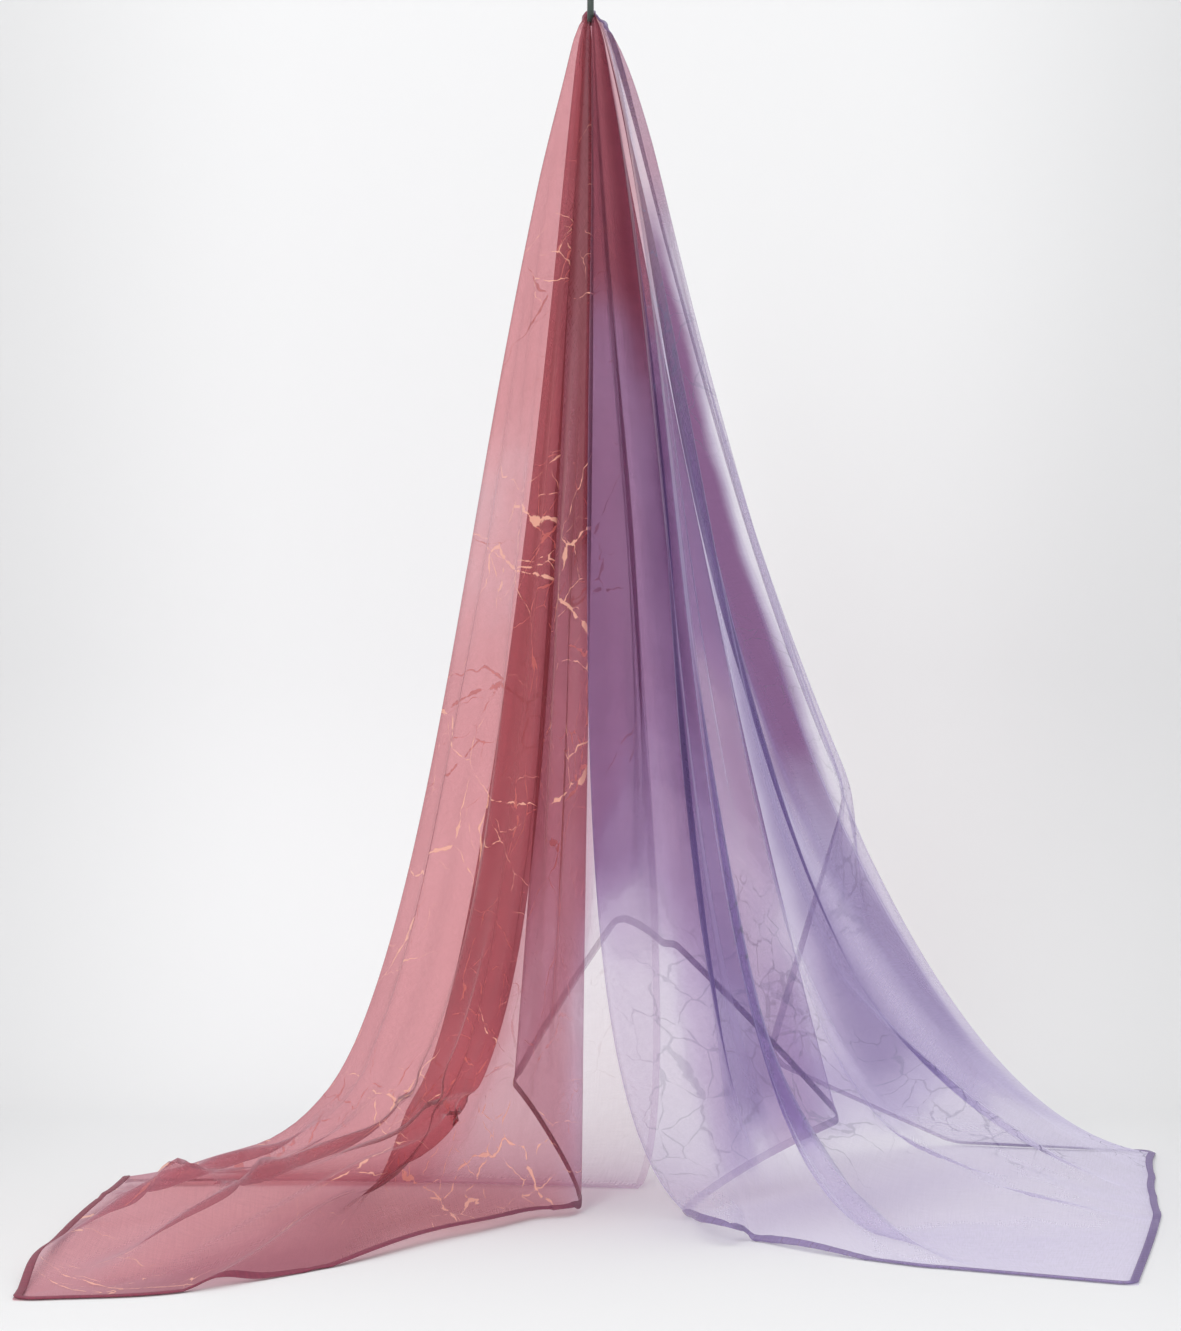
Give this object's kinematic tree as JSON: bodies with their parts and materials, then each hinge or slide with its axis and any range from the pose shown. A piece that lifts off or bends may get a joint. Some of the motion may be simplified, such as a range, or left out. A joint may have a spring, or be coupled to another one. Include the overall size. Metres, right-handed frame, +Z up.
{
  "type": "hijab",
  "caption": "Sheer rectangular head scarf, held at the middle of a long edge by a wire hook and fanning out below it in deep pleats, with both ends lying on the floor.",
  "frame": {"origin": "centre of the top face of the hook's plate, where the hook is fixed to what holds it", "axes": "+Z up, -Y towards the viewer of the front pleats, +X towards the lavender end of the scarf"},
  "size_m": [0.7245, 0.5845, 0.85],
  "materials": {
    "chiffon_rose": "sheer matte chiffon, rose",
    "chiffon_mauve": "sheer matte chiffon, mauve",
    "chiffon_violet": "sheer matte chiffon, violet",
    "chiffon_pale": "sheer matte chiffon, pale lavender",
    "hem_rose": "rolled hem, dark rose",
    "hem_violet": "rolled hem, dull violet",
    "steel": "dark satin"
  },
  "bodies": {
    "root": {"fall_left_edge": "chiffon_rose", "fall_left_side": "chiffon_rose", "fall_rose_front": "chiffon_rose", "fall_rose_back": "chiffon_rose", "fall_middle_front": "chiffon_mauve", "fall_inner_rose": "chiffon_mauve", "fall_inner_violet": "chiffon_violet", "fall_inner_pale": "chiffon_violet", "fall_inner_right": "chiffon_violet", "fall_violet_front": "chiffon_violet", "fall_valley": "chiffon_violet", "fall_pleat_front": "chiffon_violet", "fall_pleat_lying": "chiffon_violet", "fall_pleat_right": "chiffon_violet", "fall_outer_valley": "chiffon_violet", "fall_outer_front": "chiffon_violet", "fall_right_side": "chiffon_pale", "fall_right_edge": "chiffon_pale", "gather": "chiffon_rose", "hem_left_edge": "hem_rose", "hem_left_end": "hem_rose", "hem_long": "hem_violet", "hem_right_edge": "hem_violet", "hem_right_end": "hem_violet", "hook_plate": "steel", "hook_wire": "steel"}
  },
  "joints": []
}
